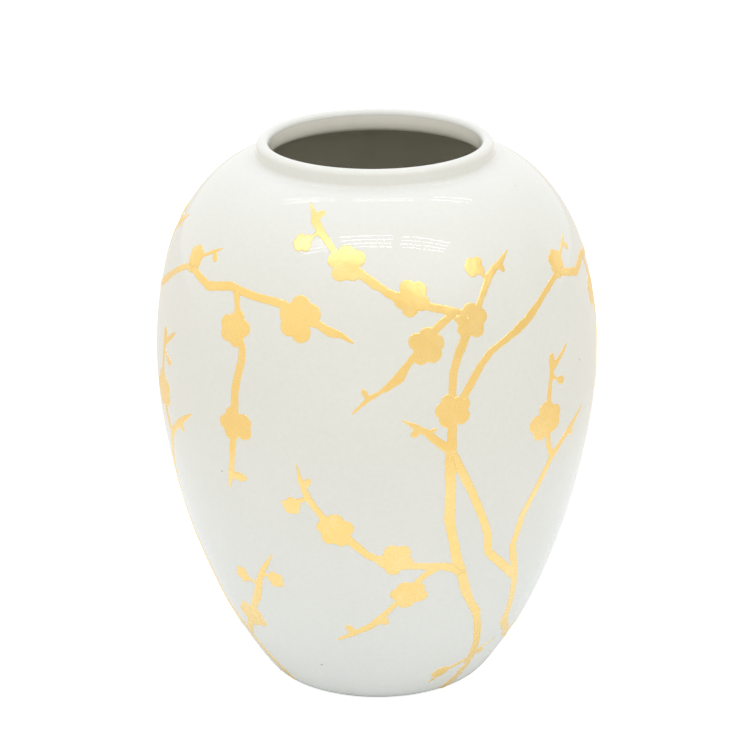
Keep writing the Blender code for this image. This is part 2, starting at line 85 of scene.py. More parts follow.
# Outside of the wall, as (height, radius), from the foot ring to the foot of the collar
WALL_OUTLINE = [
    (0.0, FOOT_RING_RADIUS), (1.4, 56.2), (4.4, 60.8), (11.8, 66.8), (23.7, 74.7), (41.4, 85.1),
    (65.0, 95.5), (94.6, 105.8), (130.1, 114.5), (165.6, 119.8), (201.0, 120.1), (230.6, 116.0),
    (254.2, 108.8), (272.0, 98.6), (285.3, 86.3), (292.5, 75.0), (COLLAR_FOOT_HEIGHT, 65.6),
]

# Gilding
GILT_THICKNESS = 0.22
GILT_SEAT = -0.05
EDGE_WIDTH = 0.6
EDGE_DEPTHS = (0.0, 0.08, 0.26, EDGE_WIDTH)
FLAT_RADIUS = 120.0
GRID = 0.6
FIELD_MARGIN = 8.0
SOFTENING = 0.35
EDGE_WANDER = 0.12
WANDER_LENGTH = 1.3
WANDER_SEED = 7
BELL_REACH = 3
LEAST_STEEPNESS = 0.2
SNAP_SHARE = 0.1
MERGE_DISTANCE = 1e-6
TINY = 1e-9
PETAL_REACH = 0.56
PETAL_RADIUS = 0.46
HEART_RADIUS = 0.5

# Kind of triangulation that delaunay_2d_cdt is asked for
INSIDE_WITH_HOLES = 2

# Each repeat of the tree: name, turn in degrees, lift in millimetres, and limbs that it lacks
REPEATS = [("front", 0.0, 0.0, ()), ("left", -121.5, 3.5, ()), ("right", 119.0, 0.5, ("left_bough",))]

# Limbs that were laid swung sideways: degrees, and the heights between which the swing grows
SWINGS = {
    ("side_stem", "front"): [(13.0, 32.0, 20.0)],
    ("low_sprig", "front"): [(13.0, 32.0, 20.0), (20.0, 31.0, 40.0)],
    ("hanging_spray", "front"): [(6.5, 216.0, 180.0)],
}

# The branches, limb by limb, as in the CAD. A limb is made of strokes, blossoms and buds.
# stroke: (angle, height, width) from root to tip
# blossom: (angle, height, radius, width over height, directions of its petals)
# bud: (angle, height, length, width, direction of its length)
LIMBS = {
    "trunk": {
        "strokes": [
            [(36.5, 4.0, 6.0), (39.5, 11.0, 5.4), (42.0, 20.0, 4.6), (41.3, 29.0, 5.6), (39.0, 41.0, 4.8),
             (36.3, 52.0, 4.6), (34.0, 61.5, 5.2), (30.3, 70.0, 4.4), (27.4, 79.5, 5.6),
             (25.2, 90.0, 5.8), (22.7, 101.0, 6.0), (21.0, 113.0, 5.0), (19.3, 126.0, 5.8),
             (18.9, 145.0, 5.6), (18.6, 160.0, 6.4), (18.7, 171.0, 6.0), (18.9, 182.0, 4.6),
             (19.4, 190.0, 4.0)],
            [(18.2, 168.0, 5.0), (14.8, 174.5, 4.4), (12.0, 179.5, 4.0), (9.0, 183.5, 3.2),
             (6.2, 187.0, 0.8)],
            [(12.6, 178.5, 2.4), (14.2, 180.6, 1.8), (15.8, 181.4, 0.6)],
            [(43.0, 30.0, 3.0), (46.5, 31.3, 1.6), (52.3, 34.0, 0.6)],
            [(41.5, 25.5, 3.4), (37.0, 23.8, 2.6), (32.0, 21.5, 3.0), (28.0, 19.0, 4.0),
             (24.2, 13.0, 1.2)],
        ],
        "blossoms": [(19.2, 190.0, 9.8, 1.02, (35, 115, 175, 232, 322))],
        "buds": [(9.4, 179.4, 5.6, 4.4, 35.0), (45.6, 27.8, 6.4, 3.4, -12.0),
                 (27.7, 19.8, 10.5, 8.4, 25.0)],
    },
    "low_bough": {
        "strokes": [
            [(25.0, 91.5, 5.8), (22.0, 95.5, 5.4), (19.0, 97.5, 4.8), (14.0, 98.8, 4.4), (9.0, 100.0, 4.2),
             (4.5, 103.5, 4.4), (0.6, 104.0, 4.6), (-3.0, 107.6, 4.4), (-6.0, 113.0, 4.6),
             (-8.6, 118.4, 4.6), (-11.4, 122.0, 4.0), (-14.8, 130.0, 4.2), (-17.4, 137.5, 3.8),
             (-19.0, 144.0, 3.8), (-20.0, 151.0, 3.0), (-20.8, 160.0, 0.8)],
            [(17.0, 97.4, 4.4), (13.3, 92.6, 3.6), (11.0, 88.0, 3.8), (8.6, 81.0, 4.0), (5.2, 75.0, 3.2),
             (2.6, 69.6, 3.2), (0.2, 64.6, 4.4), (-3.0, 59.6, 4.0), (-6.4, 56.4, 3.6),
             (-9.6, 53.4, 3.2), (-14.4, 49.2, 0.7)],
            [(-19.0, 140.2, 2.4), (-21.5, 138.0, 2.0)],
        ],
        "blossoms": [(4.9, 104.4, 9.8, 1.0, (51, 114, 188, 257, 335)),
                     (-11.4, 122.4, 10.0, 1.0, (18, 90, 167, 231, 294)),
                     (9.2, 81.0, 9.2, 1.1, (50, 114, 172, 256, 345)),
                     (-23.2, 134.6, 5.4, 1.0, (20, 90, 165, 235, 310))],
        "buds": [(-18.2, 149.8, 6.2, 4.0, 58.0), (1.9, 63.4, 5.8, 5.0, -50.0),
                 (-9.6, 57.8, 5.6, 4.4, 110.0)],
    },
    "crown": {
        "strokes": [
            [(19.2, 190.0, 4.0), (18.9, 200.0, 4.2), (19.2, 210.0, 4.4), (20.8, 219.0, 4.8),
             (23.0, 227.6, 5.4), (25.0, 236.0, 5.0), (27.9, 242.4, 3.6), (30.2, 249.4, 3.8),
             (32.2, 254.8, 4.4), (35.0, 258.8, 3.8), (37.4, 260.6, 3.8), (41.6, 265.8, 0.8)],
            [(31.8, 254.4, 2.2), (30.0, 259.0, 2.0)],
        ],
        "blossoms": [(25.2, 235.6, 9.6, 1.0, (18, 88, 150, 225, 301)),
                     (29.0, 261.2, 5.9, 1.0, (50, 130, 178, 228, 320))],
        "buds": [(37.6, 258.4, 5.0, 3.6, -70.0)],
    },
    "left_bough": {
        "strokes": [
            [(24.0, 238.0, 5.0), (20.6, 241.2, 5.0), (17.6, 243.2, 4.8), (14.2, 245.2, 4.4),
             (9.6, 249.6, 4.4), (5.0, 251.0, 4.8), (1.8, 254.6, 4.4), (-1.2, 258.0, 4.8),
             (-4.4, 262.0, 5.0), (-8.5, 266.6, 4.0), (-12.6, 272.0, 3.6), (-15.2, 275.8, 3.8),
             (-18.0, 279.6, 4.0), (-20.8, 284.0, 4.6), (-24.9, 290.6, 0.8)],
            [(20.4, 240.6, 4.0), (17.2, 236.6, 4.4), (14.6, 232.6, 4.2), (12.4, 226.0, 4.2),
             (9.4, 220.6, 3.2), (7.4, 215.6, 3.8), (5.6, 210.0, 5.8), (3.0, 205.6, 4.0),
             (0.4, 202.0, 1.9), (-1.8, 199.6, 2.6), (-6.2, 190.8, 0.8)],
            [(-18.2, 279.8, 2.0), (-21.6, 275.6, 2.0)],
        ],
        "blossoms": [(9.6, 250.0, 9.8, 0.96, (45, 111, 190, 255, 330)),
                     (-8.5, 266.4, 9.9, 1.03, (30, 93, 165, 241, 304)),
                     (12.6, 225.4, 10.0, 0.98, (15, 80, 150, 238, 312)),
                     (-22.8, 274.2, 5.4, 1.05, (50, 130, 185, 235, 315))],
        "buds": [(-19.6, 286.6, 5.2, 4.2, 60.0), (-3.0, 201.8, 5.6, 3.0, 112.0)],
    },
    "right_bough": {
        "strokes": [
            [(20.4, 192.0, 5.0), (22.6, 199.0, 4.6), (24.6, 205.4, 4.6), (27.0, 212.4, 4.4),
             (30.0, 218.4, 3.8), (34.0, 222.2, 3.6), (38.0, 225.8, 4.4), (42.0, 229.4, 5.0),
             (46.0, 234.0, 4.6), (50.0, 239.0, 3.8), (54.0, 243.0, 3.4), (57.6, 245.6, 3.8),
             (60.2, 246.8, 4.0)],
            [(59.4, 245.6, 4.6), (59.8, 252.0, 4.2)],
            [(61.6, 252.4, 2.4), (64.2, 254.8, 2.0), (67.0, 257.6, 2.2), (71.2, 261.2, 0.7)],
            [(68.2, 258.4, 1.8), (69.4, 255.8, 1.8)],
        ],
        "blossoms": [(60.2, 252.2, 6.8, 1.08, (30, 95, 155, 215, 318))],
        "buds": [(69.2, 255.6, 5.0, 3.8, -35.0)],
    },
    "far_bough": {
        "strokes": [
            [(58.6, 246.2, 4.0), (61.5, 246.0, 4.0), (66.0, 243.4, 4.4), (70.2, 241.4, 5.4),
             (74.6, 243.4, 4.6), (78.2, 245.0, 4.6), (82.0, 244.2, 4.4), (87.0, 242.8, 4.2),
             (92.0, 242.2, 4.4), (96.5, 241.2, 4.8), (101.0, 236.0, 5.0), (106.6, 233.0, 4.4),
             (109.6, 229.8, 5.2), (112.4, 228.4, 3.4), (115.6, 224.8, 0.8)],
        ],
        "blossoms": [(101.2, 235.0, 12.2, 0.96, (25, 92, 162, 216, 280))],
        "buds": [],
    },
    "hanging_spray": {
        "strokes": [
            [(80.8, 244.6, 4.6), (82.0, 237.0, 3.6), (83.0, 225.0, 4.6), (85.2, 215.0, 4.6),
             (85.2, 208.0, 4.6), (84.2, 199.6, 4.8), (83.4, 192.0, 4.8), (83.2, 182.6, 5.6),
             (83.2, 172.6, 5.0), (82.2, 163.0, 4.2), (81.4, 153.0, 3.4), (80.4, 143.6, 4.2),
             (79.0, 135.0, 1.6)],
        ],
        "blossoms": [(82.2, 224.6, 9.8, 1.02, (8, 78, 160, 216, 285)),
                     (83.4, 172.4, 10.0, 1.08, (28, 108, 177, 238, 329))],
        "buds": [(83.0, 142.4, 10.4, 5.2, 4.0)],
    },
    "side_stem": {
        "strokes": [
            [(18.6, 168.0, 5.0), (21.4, 156.4, 4.6), (25.4, 140.0, 4.6), (28.8, 126.0, 4.4),
             (31.6, 113.6, 4.8), (33.0, 101.4, 5.2), (36.4, 95.0, 4.8), (40.8, 88.0, 5.0),
             (45.6, 80.4, 5.0)],
            [(70.8, 4.0, 5.2), (67.6, 11.0, 5.4), (63.4, 20.0, 5.2), (61.2, 28.0, 5.0),
             (58.8, 36.0, 5.0), (54.6, 40.6, 5.4), (51.4, 46.6, 6.4), (50.8, 56.0, 5.0), (49.4, 66.0, 4.8),
             (47.4, 76.0, 5.0), (45.6, 84.6, 4.6), (43.6, 92.6, 4.6), (42.0, 100.6, 4.8),
             (42.8, 110.0, 4.4), (43.4, 118.6, 4.8), (46.2, 129.0, 4.2), (49.4, 140.0, 4.4),
             (52.0, 149.0, 4.6), (55.6, 154.6, 3.8), (59.6, 160.4, 4.6), (66.4, 169.4, 0.8)],
            [(51.8, 149.6, 4.0), (49.8, 157.0, 3.6), (48.4, 172.0, 4.0), (48.8, 184.0, 3.6),
             (49.4, 192.0, 3.2), (50.2, 199.0, 3.8), (54.0, 204.6, 2.8), (58.0, 210.4, 0.7)],
            [(50.0, 196.6, 2.2), (51.6, 193.6, 2.0), (53.6, 191.6, 2.4)],
        ],
        "blossoms": [(48.0, 171.8, 10.8, 1.18, (23, 92, 182, 238, 329))],
        "buds": [(50.3, 203.6, 9.6, 5.0, 86.0), (53.8, 191.4, 7.4, 4.6, -20.0),
                 (60.6, 158.0, 5.6, 3.6, -60.0)],
    },
    "low_sprig": {
        "strokes": [
            [(60.8, 31.5, 5.0), (64.6, 36.6, 4.8), (71.4, 48.6, 4.8), (75.2, 57.0, 4.0), (78.6, 64.6, 5.0),
             (81.0, 72.4, 4.6), (83.2, 80.0, 3.8), (85.4, 86.6, 3.0), (90.0, 97.6, 0.8)],
            [(80.6, 74.6, 2.2), (78.2, 76.6, 2.0), (76.0, 77.6, 2.4)],
            [(84.4, 82.8, 2.0), (88.0, 82.4, 2.2)],
        ],
        "blossoms": [(71.4, 48.8, 8.8, 1.22, (40, 105, 182, 250, 335)),
                     (75.4, 78.0, 5.3, 1.0, (60, 125, 195, 262, 330)),
                     (89.2, 81.2, 5.4, 1.0, (45, 110, 180, 245, 320))],
        "buds": [],
    },
}

# Materials
PORCELAIN_LOW = (0.730, 0.745, 0.724, 1.0)
PORCELAIN_HIGH = (0.755, 0.765, 0.748, 1.0)
# Paler glaze inside the neck: painted light for the light that falls into the neck
NECK_PAINTED_LIGHT_LOW = (0.87, 0.85, 0.79, 1.0)
NECK_PAINTED_LIGHT_HIGH = (0.90, 0.88, 0.82, 1.0)
INSIDE_LOW_TONE = (0.655, 0.635, 0.555, 1.0)
INSIDE_HIGH_TONE = (0.700, 0.682, 0.605, 1.0)
CLAY_LOW = (0.60, 0.54, 0.45, 1.0)
CLAY_HIGH = (0.74, 0.69, 0.60, 1.0)
GOLD = (1.0, 0.745, 0.325, 1.0)
DEEP_GOLD = (0.98, 0.70, 0.265, 1.0)
PALE_GOLD = (1.0, 0.84, 0.50, 1.0)

# Each noise in the materials, as waves per metre and detail
CLOUD_NOISE = (16.0, 3.0)
GRAIN_NOISE = (420.0, 3.0)
GLOSS_NOISE = (30.0, 2.0)
RIPPLE_NOISE = (24.0, 1.0)
PIT_NOISE = (500.0, 2.0)
INSIDE_NOISE = (24.0, 4.0)
INSIDE_GLOSS_NOISE = (40.0, 2.0)
INSIDE_WAVE_NOISE = (30.0, 2.0)
CLAY_NOISE = (300.0, 6.0)
GRIT_NOISE = (900.0, 6.0)
THICKNESS_NOISE = (26.0, 2.0)
WEAR_NOISE = (140.0, 3.0)
POLISH_NOISE = (180.0, 3.0)
STROKE_NOISE = (500.0, 3.0)
DENT_NOISE = (80.0, 2.0)
MOTTLE_NOISE = (3.0, 2.0)

# Spans of noise over which a value changes, and what it changes between
MIDDLE_SPAN = (0.3, 0.7)
GRAIN_SPAN = (0.25, 0.75)
GRAIN_TONES = (0.965, 1.0)
THICKNESS_SPAN = (0.35, 0.65)
WEAR_SPAN = (0.55, 0.85)
WEAR_SHARES = (0.0, 0.35)
MOTTLE_TONES = (0.98, 1.0)
GLAZE_ROUGHNESS = (0.022, 0.036)
INSIDE_ROUGHNESS = (0.12, 0.22)
GOLD_ROUGHNESS = (0.22, 0.34)
CLAY_ROUGHNESS = 0.75
FLOOR_ROUGHNESS = 0.9

# Specks: cells per metre, and the tone by the share of a cell away from its middle
SPECK_CELLS = 38.0
SPECK_SPAN = (0.018, 0.03)
SPECK_TONES = (0.45, 1.0)

# Heights of relief in metres
RIPPLE_HEIGHT = 0.000015
PIT_HEIGHT = 0.0000004
INSIDE_WAVE_HEIGHT = 0.0001
GRIT_HEIGHT = 0.0002
STROKE_HEIGHT = 0.000012
DENT_HEIGHT = 0.0004

# Numbers of a colour mixing node's sockets
MIX_SHARE = 0
MIX_FIRST = 6
MIX_SECOND = 7
MIX_RESULT = 2

# Camera
LENS = 169.2
SENSOR = 36.0
SHIFT_X = -0.0025
SHIFT_Y = -0.0009
CAMERA_DISTANCE = 1.830
CAMERA_HEIGHT = 0.8157
CAMERA_PITCH = 19.43
CAMERA_ROLL = -0.0075

# Studio, in metres and in brightness, where 1 is white
FLOOR_SIZE = 8.0
# The floor is white near the vase and warmer and darker beyond: a painted pool of light round the vase
FLOOR_NEAR = (0.90, 0.93, 0.97, 1.0)
FLOOR_FAR = (0.76, 0.72, 0.65, 1.0)
FLOOR_FADE = (0.22, 0.50)
FLOOR_GLOW = 0.75
ROOM_LEFT = (1.01, 0.98, 0.86, 1.0)
ROOM_RIGHT = (0.85, 0.81, 0.69, 1.0)
ROOM_BACK = (1.06, 1.06, 1.04, 1.0)
ROOM_TOP = (1.13, 1.13, 1.14, 1.0)
ROOM_WINDOW = (1.50, 1.50, 1.46, 1.0)
FRONT_TO_BACK = (0.30, 0.55)
LEFT_TO_RIGHT = (-0.70, 0.80)
SIDES_TO_TOP = (0.30, 0.75)
WINDOW_WAY = (0.51, -0.60, 0.62)
WINDOW_FADE = (0.90, 0.985)
CEILING_HEIGHT = 2.6
# Each row of tubes: name, depth of its first tube, tubes, their spacing, and the ends of its columns
CEILING_ROWS = [
    ("back", 1.12, 2, 0.22, [(-1.30, -0.46), (-0.25, 0.47), (0.66, 1.40)]),
    ("front", -1.05, 4, 0.15, [(-1.95, -0.93), (-0.72, 0.36), (0.53, 1.75)]),
]
TUBE_WIDTH = 0.02
TUBE_POWER_PER_METRE = 0.8


def catmull_rom(points, spacing):
    """The centripetal curve through the points, in steps of about the spacing."""
    points = np.array(points, float)
    padded = np.vstack([2 * points[0] - points[1], points, 2 * points[-1] - points[-2]])
    curve = []
    for p0, p1, p2, p3 in zip(padded, padded[1:], padded[2:], padded[3:]):
        steps = max(1, round(np.linalg.norm(p2 - p1) / spacing))
        k1, k2, k3 = np.cumsum([math.sqrt(np.linalg.norm(b - a)) for a, b in ((p0, p1), (p1, p2), (p2, p3))])
        for k in k1 + (k2 - k1) * np.arange(steps) / steps:
            a1 = p0 + (p1 - p0) * k / k1
            a2 = p1 + (p2 - p1) * (k - k1) / (k2 - k1)
            a3 = p2 + (p3 - p2) * (k - k2) / (k3 - k2)
            b1 = a1 + (a2 - a1) * k / k2
            b2 = a2 + (a3 - a2) * (k - k1) / (k3 - k1)
            curve.append(b1 + (b2 - b1) * (k - k1) / (k2 - k1))
    return np.array(curve + [points[-1]])


class Wall:
    """The outside of the wall as a fine curve, measured along its arc from the foot ring."""

    def __init__(self):
        self.height, self.radius = catmull_rom(WALL_OUTLINE, BODY_SPACING).T
        steps = np.hypot(np.diff(self.height), np.diff(self.radius))
        self.arc = np.concatenate([[0.0], np.cumsum(steps)])
        along = np.gradient(np.stack([self.height, self.radius]), self.arc, axis=1)
        self.out_height, self.out_radius = np.array([-along[1], along[0]]) / np.hypot(*along)

    def radius_at(self, arc):
        """The wall's radius at this length along it."""
        return np.interp(arc, self.arc, self.radius)

    def flat(self, angle, height):
        """The place of an angle and height on the flat drawing."""
        return np.array([FLAT_RADIUS * math.radians(angle), np.interp(height, self.height, self.arc)])

    def laid(self, flat, proud):
        """Points of the drawing laid on the wall, and moved out by proud."""
        angle = flat[:, 0] / FLAT_RADIUS
        arc = flat[:, 1]
        radius = self.radius_at(arc) + proud * np.interp(arc, self.arc, self.out_radius)
        height = np.interp(arc, self.arc, self.height) + proud * np.interp(arc, self.arc, self.out_height)
        return np.stack([radius * np.sin(angle), -radius * np.cos(angle), height], axis=1) * MM


def new_object(name, points, faces, materials):
    """A smooth-shaded mesh that rides with the vase."""
    mesh = bpy.data.meshes.new(name)
    mesh.from_pydata([tuple(point) for point in points], [], [tuple(face) for face in faces])
    mesh.shade_smooth()
    for material in materials:
        mesh.materials.append(material)
    made = bpy.data.objects.new(name, mesh)
    bpy.context.scene.collection.objects.link(made)
    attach(made, "root")
    return made


# Body

def arc_points(middle, radii, start, end, steps):
    """Points round an ellipse, from one angle in degrees to another."""
    turns = np.radians(np.linspace(start, end, steps))
    return [(middle[0] + radii[0] * math.cos(turn), middle[1] + radii[1] * math.sin(turn)) for turn in turns]


def body_profile(wall):
    """The body's section as (radius, height), from the middle of the floor out to that of the base."""
    inner_height = wall.height - WALL * wall.out_height
    inner_radius = wall.radius - WALL * wall.out_radius
    kept = (inner_height > INSIDE_LOW) & (inner_height < INSIDE_HIGH)
    lip_foot = HEIGHT - LIP_ROUNDING
    inside = FLOOR_OUTLINE + list(zip(inner_radius[kept], inner_height[kept])) + NECK_OUTLINE
    inside.append((LIP_INNER_RADIUS, lip_foot))
    profile = list(catmull_rom(inside, BODY_SPACING))
    lip_middle = ((LIP_INNER_RADIUS + LIP_OUTER_RADIUS) / 2, lip_foot)
    lip_radii = ((LIP_OUTER_RADIUS - LIP_INNER_RADIUS) / 2, LIP_ROUNDING)
    profile += arc_points(lip_middle, lip_radii, 180, 0, LIP_STEPS)[1:]
    profile += list(catmull_rom([(LIP_OUTER_RADIUS, lip_foot)] + COLLAR_OUTLINE, COLLAR_SPACING))[1:]
    profile += list(zip(wall.radius, wall.height))[::-1]
    for radius, start, end in ((FOOT_RING_RADIUS - FOOT_RING_CORNER, 0, -90),
                               (FOOT_RING_INNER_RADIUS + FOOT_RING_CORNER, -90, -180)):
        profile += arc_points((radius, FOOT_RING_CORNER), (FOOT_RING_CORNER,) * 2, start, end, CORNER_STEPS)
    return np.array(profile + BASE_OUTLINE)


def turned_body(wall):
    """The body with four materials: outer glaze, bare clay, inner glaze, and a paler glaze inside the neck
    which is painted light.
    """
    profile = body_profile(wall)
    radius, height = profile[1:-1].T
    turns = np.arange(BODY_STEPS) * math.tau / BODY_STEPS
    rings = np.stack([np.outer(radius, np.sin(turns)), np.outer(radius, -np.cos(turns)),
                      np.repeat(height[:, None], BODY_STEPS, axis=1)], axis=2)
    points = np.vstack([rings.reshape(-1, 3), [[0.0, 0.0, profile[0, 1]], [0.0, 0.0, profile[-1, 1]]]]) * MM
    ring, step = np.meshgrid(np.arange(len(radius) - 1), np.arange(BODY_STEPS), indexing="ij")
    following = (step + 1) % BODY_STEPS
    quads = np.stack([(ring + 1) * BODY_STEPS + step, (ring + 1) * BODY_STEPS + following,
                      ring * BODY_STEPS + following, ring * BODY_STEPS + step], axis=2)
    floor_middle, base_middle = len(points) - 2, len(points) - 1
    last = (len(radius) - 1) * BODY_STEPS
    faces = quads.reshape(-1, 4).tolist()
    faces += [(floor_middle, step, (step + 1) % BODY_STEPS) for step in range(BODY_STEPS)]
    faces += [(base_middle, last + (step + 1) % BODY_STEPS, last + step) for step in range(BODY_STEPS)]
    # The last material is the glaze made paler inside the neck, as painted light
    materials = [porcelain_glaze("glazed_porcelain", PORCELAIN_LOW, PORCELAIN_HIGH), bare_foot_clay(),
                 inside_glaze(), porcelain_glaze("neck_glaze_painted_light", NECK_PAINTED_LIGHT_LOW, NECK_PAINTED_LIGHT_HIGH)]
    body = new_object("glazed_body", points, faces, materials)
    bare = (height < BARE_HEIGHT) & (radius > BARE_INNER_RADIUS) & (radius < BARE_OUTER_RADIUS)
    neck_ring = int(np.argmax(height > NECK_PAINTED_LIGHT_HEIGHT))
    lip_ring = int(np.argmax(height > HEIGHT - LIP_ROUNDING))
    for face in body.data.polygons:
        rings_of_face = {vert // BODY_STEPS for vert in face.vertices if vert < floor_middle}
        if max(rings_of_face) < neck_ring:
            face.material_index = INSIDE_SLOT
        elif max(rings_of_face) < lip_ring:
            face.material_index = NECK_PAINTED_LIGHT_SLOT
        elif all(bare[ring] for ring in rings_of_face):
            face.material_index = BARE_SLOT
    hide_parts("porcelain_body")


# Gilding

def blurred(field, width):
    """The field smoothed by a bell curve of this width in millimetres."""
    reach = math.ceil(BELL_REACH * width / GRID)
    bell = np.exp(-0.5 * (np.arange(-reach, reach + 1) * GRID / width) ** 2)
    bell /= bell.sum()
    for axis in (0, 1):
        field = np.apply_along_axis(
            lambda line: np.convolve(np.pad(line, reach, "edge"), bell, "valid"), axis, field)
    return field


class Drawing:
    """Distances from each place of the flat drawing to the outline of each limb, minus inside."""

    def __init__(self, wall):
        self.wall = wall
        places = [wall.flat(angle, height) for limb in LIMBS.values()
                  for stroke in limb["strokes"] for angle, height, width in stroke]
        low = np.min(places, axis=0) - FIELD_MARGIN
        high = np.max(places, axis=0) + FIELD_MARGIN
        self.across = np.arange(low[0], high[0], GRID)
        self.arc = np.arange(max(low[1], 0.0), high[1], GRID)
        self.shrink = wall.radius_at(self.arc) / FLAT_RADIUS
        self.own = np.stack([self.limb_field(limb) for limb in LIMBS.values()])
        noise = np.random.default_rng(WANDER_SEED).normal(size=self.own.shape[1:])
        wander = blurred(noise, WANDER_LENGTH)
        outline = blurred(self.own.min(axis=0), SOFTENING)
        self.field = outline + wander / wander.std() * EDGE_WANDER

    def window(self, centre, reach):
        """The part of the grid within reach of a place, and its offsets east and north of it."""
        rows = slice(*np.searchsorted(self.arc, [centre[1] - reach, centre[1] + reach]))
        wide = reach / self.shrink[rows].min()
        columns = slice(*np.searchsorted(self.across, [centre[0] - wide, centre[0] + wide]))
        east = np.outer(self.shrink[rows], self.across[columns] - centre[0])
        north = np.repeat((self.arc[rows] - centre[1])[:, None], east.shape[1], axis=1)
        return (rows, columns), east, north

    def limb_field(self, limb):
        """Distances to one limb's outline: its strokes, blossoms and buds."""
        field = np.full((len(self.arc), len(self.across)), FIELD_MARGIN)
        for stroke in limb["strokes"]:
            for start, end in zip(stroke, stroke[1:]):
                self.add_stretch(field, start, end)
        for angle, height, radius, stretch, petals in limb["blossoms"]:
            self.add_disc(field, angle, height, 0.0, 0.0, HEART_RADIUS * radius, stretch)
            for petal in petals:
                self.add_disc(field, angle, height, PETAL_REACH * radius, petal,
                              PETAL_RADIUS * radius, stretch)
        for angle, height, length, width, direction in limb["buds"]:
            self.add_bud(field, angle, height, length, width, direction)
        return field

    def add_stretch(self, field, start, end):
        """A tapered stretch of a branch with round ends."""
        first = self.wall.flat(start[0], start[1])
        last = self.wall.flat(end[0], end[1])
        reach = np.linalg.norm(last - first) + FIELD_MARGIN
        window, east, north = self.window(first, reach)
        shrink = np.interp(first[1], self.arc, self.shrink)
        along = (last - first) * (shrink, 1.0)
        share = np.clip((east * along[0] + north * along[1]) / along.dot(along), 0.0, 1.0)
        gap = np.hypot(east - share * along[0], north - share * along[1])
        half_width = (start[2] + (end[2] - start[2]) * share) / 2
        field[window] = np.minimum(field[window], gap - half_width)

    def add_disc(self, field, angle, height, reach, direction, radius, stretch):
        """A petal, or the heart of a blossom."""
        whole_reach = reach + radius * stretch + FIELD_MARGIN
        window, east, north = self.window(self.wall.flat(angle, height), whole_reach)
        turn = math.radians(direction)
        gap = np.hypot(east / stretch - reach * math.cos(turn), north - reach * math.sin(turn))
        field[window] = np.minimum(field[window], gap - radius)

    def add_bud(self, field, angle, height, length, width, direction):
        """An oval bud that points in its direction, in degrees."""
        window, east, north = self.window(self.wall.flat(angle, height), length + FIELD_MARGIN)
        turn = math.radians(direction)
        along = (east * math.cos(turn) + north * math.sin(turn)) / (length / 2)
        aside = (north * math.cos(turn) - east * math.sin(turn)) / (width / 2)
        ring = np.hypot(along, aside)
        slope = np.hypot(along / (length / 2), aside / (width / 2)) + TINY
        field[window] = np.minimum(field[window], ring * (ring - 1.0) / slope)

    def layer(self):
        """Triangles of the gilt area with their depth from the edge, and the limb that each is on."""
        rows, columns = self.field.shape
        index = np.arange(rows * columns).reshape(rows, columns)
        corners = np.stack([index[:-1, :-1], index[:-1, 1:], index[1:, 1:], index[1:, :-1]], axis=2)
        odd = np.indices(corners.shape[:2]).sum(axis=0) % 2 == 1
        corners[odd] = np.roll(corners[odd], 1, axis=1)
        corners = corners.reshape(-1, 4)
        near = (self.field[corners // columns, corners % columns] < GRID).any(axis=1)
        corners = corners[near]
        triangles = np.vstack([corners[:, [0, 1, 2]], corners[:, [0, 2, 3]]])
        across, arc = np.meshgrid(self.across, self.arc)
        points = np.stack([across.ravel(), arc.ravel()], axis=1)
        depth = -self.field.ravel()
        points, depth = self.drawn_to_lines(points, depth)
        for line in EDGE_DEPTHS:
            points, depth, triangles = split_along(points, depth, triangles, line)
            if line == 0.0:
                triangles = triangles[(depth[triangles] >= 0.0).all(axis=1)]
        middle = points[triangles].mean(axis=1)
        row = np.rint((middle[:, 1] - self.arc[0]) / GRID).astype(int)
        column = np.rint((middle[:, 0] - self.across[0]) / GRID).astype(int)
        return points, depth, triangles, self.own[:, row, column].argmin(axis=0)

    def drawn_to_lines(self, points, depth):
        """Moves places that lie close to an edge line onto it, so that no thin slivers are left."""
        slope_arc, slope_across = np.gradient(-self.field, GRID)
        slope = np.stack([slope_across.ravel(), slope_arc.ravel()], axis=1)
        steep = np.maximum((slope ** 2).sum(axis=1), LEAST_STEEPNESS)
        points = points.copy()
        for line in EDGE_DEPTHS:
            close = np.abs(depth - line) < SNAP_SHARE * GRID
            points[close] += slope[close] * ((line - depth[close]) / steep[close])[:, None]
            depth = np.where(close, line, depth)
        return points, depth


def split_along(points, depth, triangles, line):
    """Cuts every triangle that the line of this depth crosses."""
    side = np.sign(depth - line).astype(int)
    ends = np.stack([triangles, np.roll(triangles, -1, axis=1)], axis=2)
    crossed = side[ends[..., 0]] * side[ends[..., 1]] < 0
    pairs, number = np.unique(np.sort(ends[crossed], axis=1), axis=0, return_inverse=True)
    share = (line - depth[pairs[:, 0]]) / (depth[pairs[:, 1]] - depth[pairs[:, 0]])
    cuts = points[pairs[:, 0]] + share[:, None] * (points[pairs[:, 1]] - points[pairs[:, 0]])
    cut_at = np.full(triangles.shape, -1)
    cut_at[crossed] = len(points) + number.ravel()
    count = crossed.sum(axis=1)
    once = count == 1
    twice = count == 2
    parts = [triangles[count == 0]]
    turned, cut = turned_so(triangles[once], cut_at[once], crossed[once].argmax(axis=1))
    parts.append(np.stack([turned[:, 0], cut[:, 0], turned[:, 2]], axis=1))
    parts.append(np.stack([cut[:, 0], turned[:, 1], turned[:, 2]], axis=1))
    lone = (crossed[twice].argmin(axis=1) + 2) % 3
    turned, cut = turned_so(triangles[twice], cut_at[twice], lone)
    parts.append(np.stack([turned[:, 0], cut[:, 0], cut[:, 2]], axis=1))
    parts.append(np.stack([cut[:, 0], turned[:, 1], turned[:, 2]], axis=1))
    parts.append(np.stack([cut[:, 0], turned[:, 2], cut[:, 2]], axis=1))
    return np.vstack([points, cuts]), np.concatenate([depth, np.full(len(cuts), line)]), np.vstack(parts)


def turned_so(triangles, cut_at, first):
    """The same triangles, each begun at its given corner."""
    order = (first[:, None] + np.arange(3)) % 3
    return np.take_along_axis(triangles, order, axis=1), np.take_along_axis(cut_at, order, axis=1)


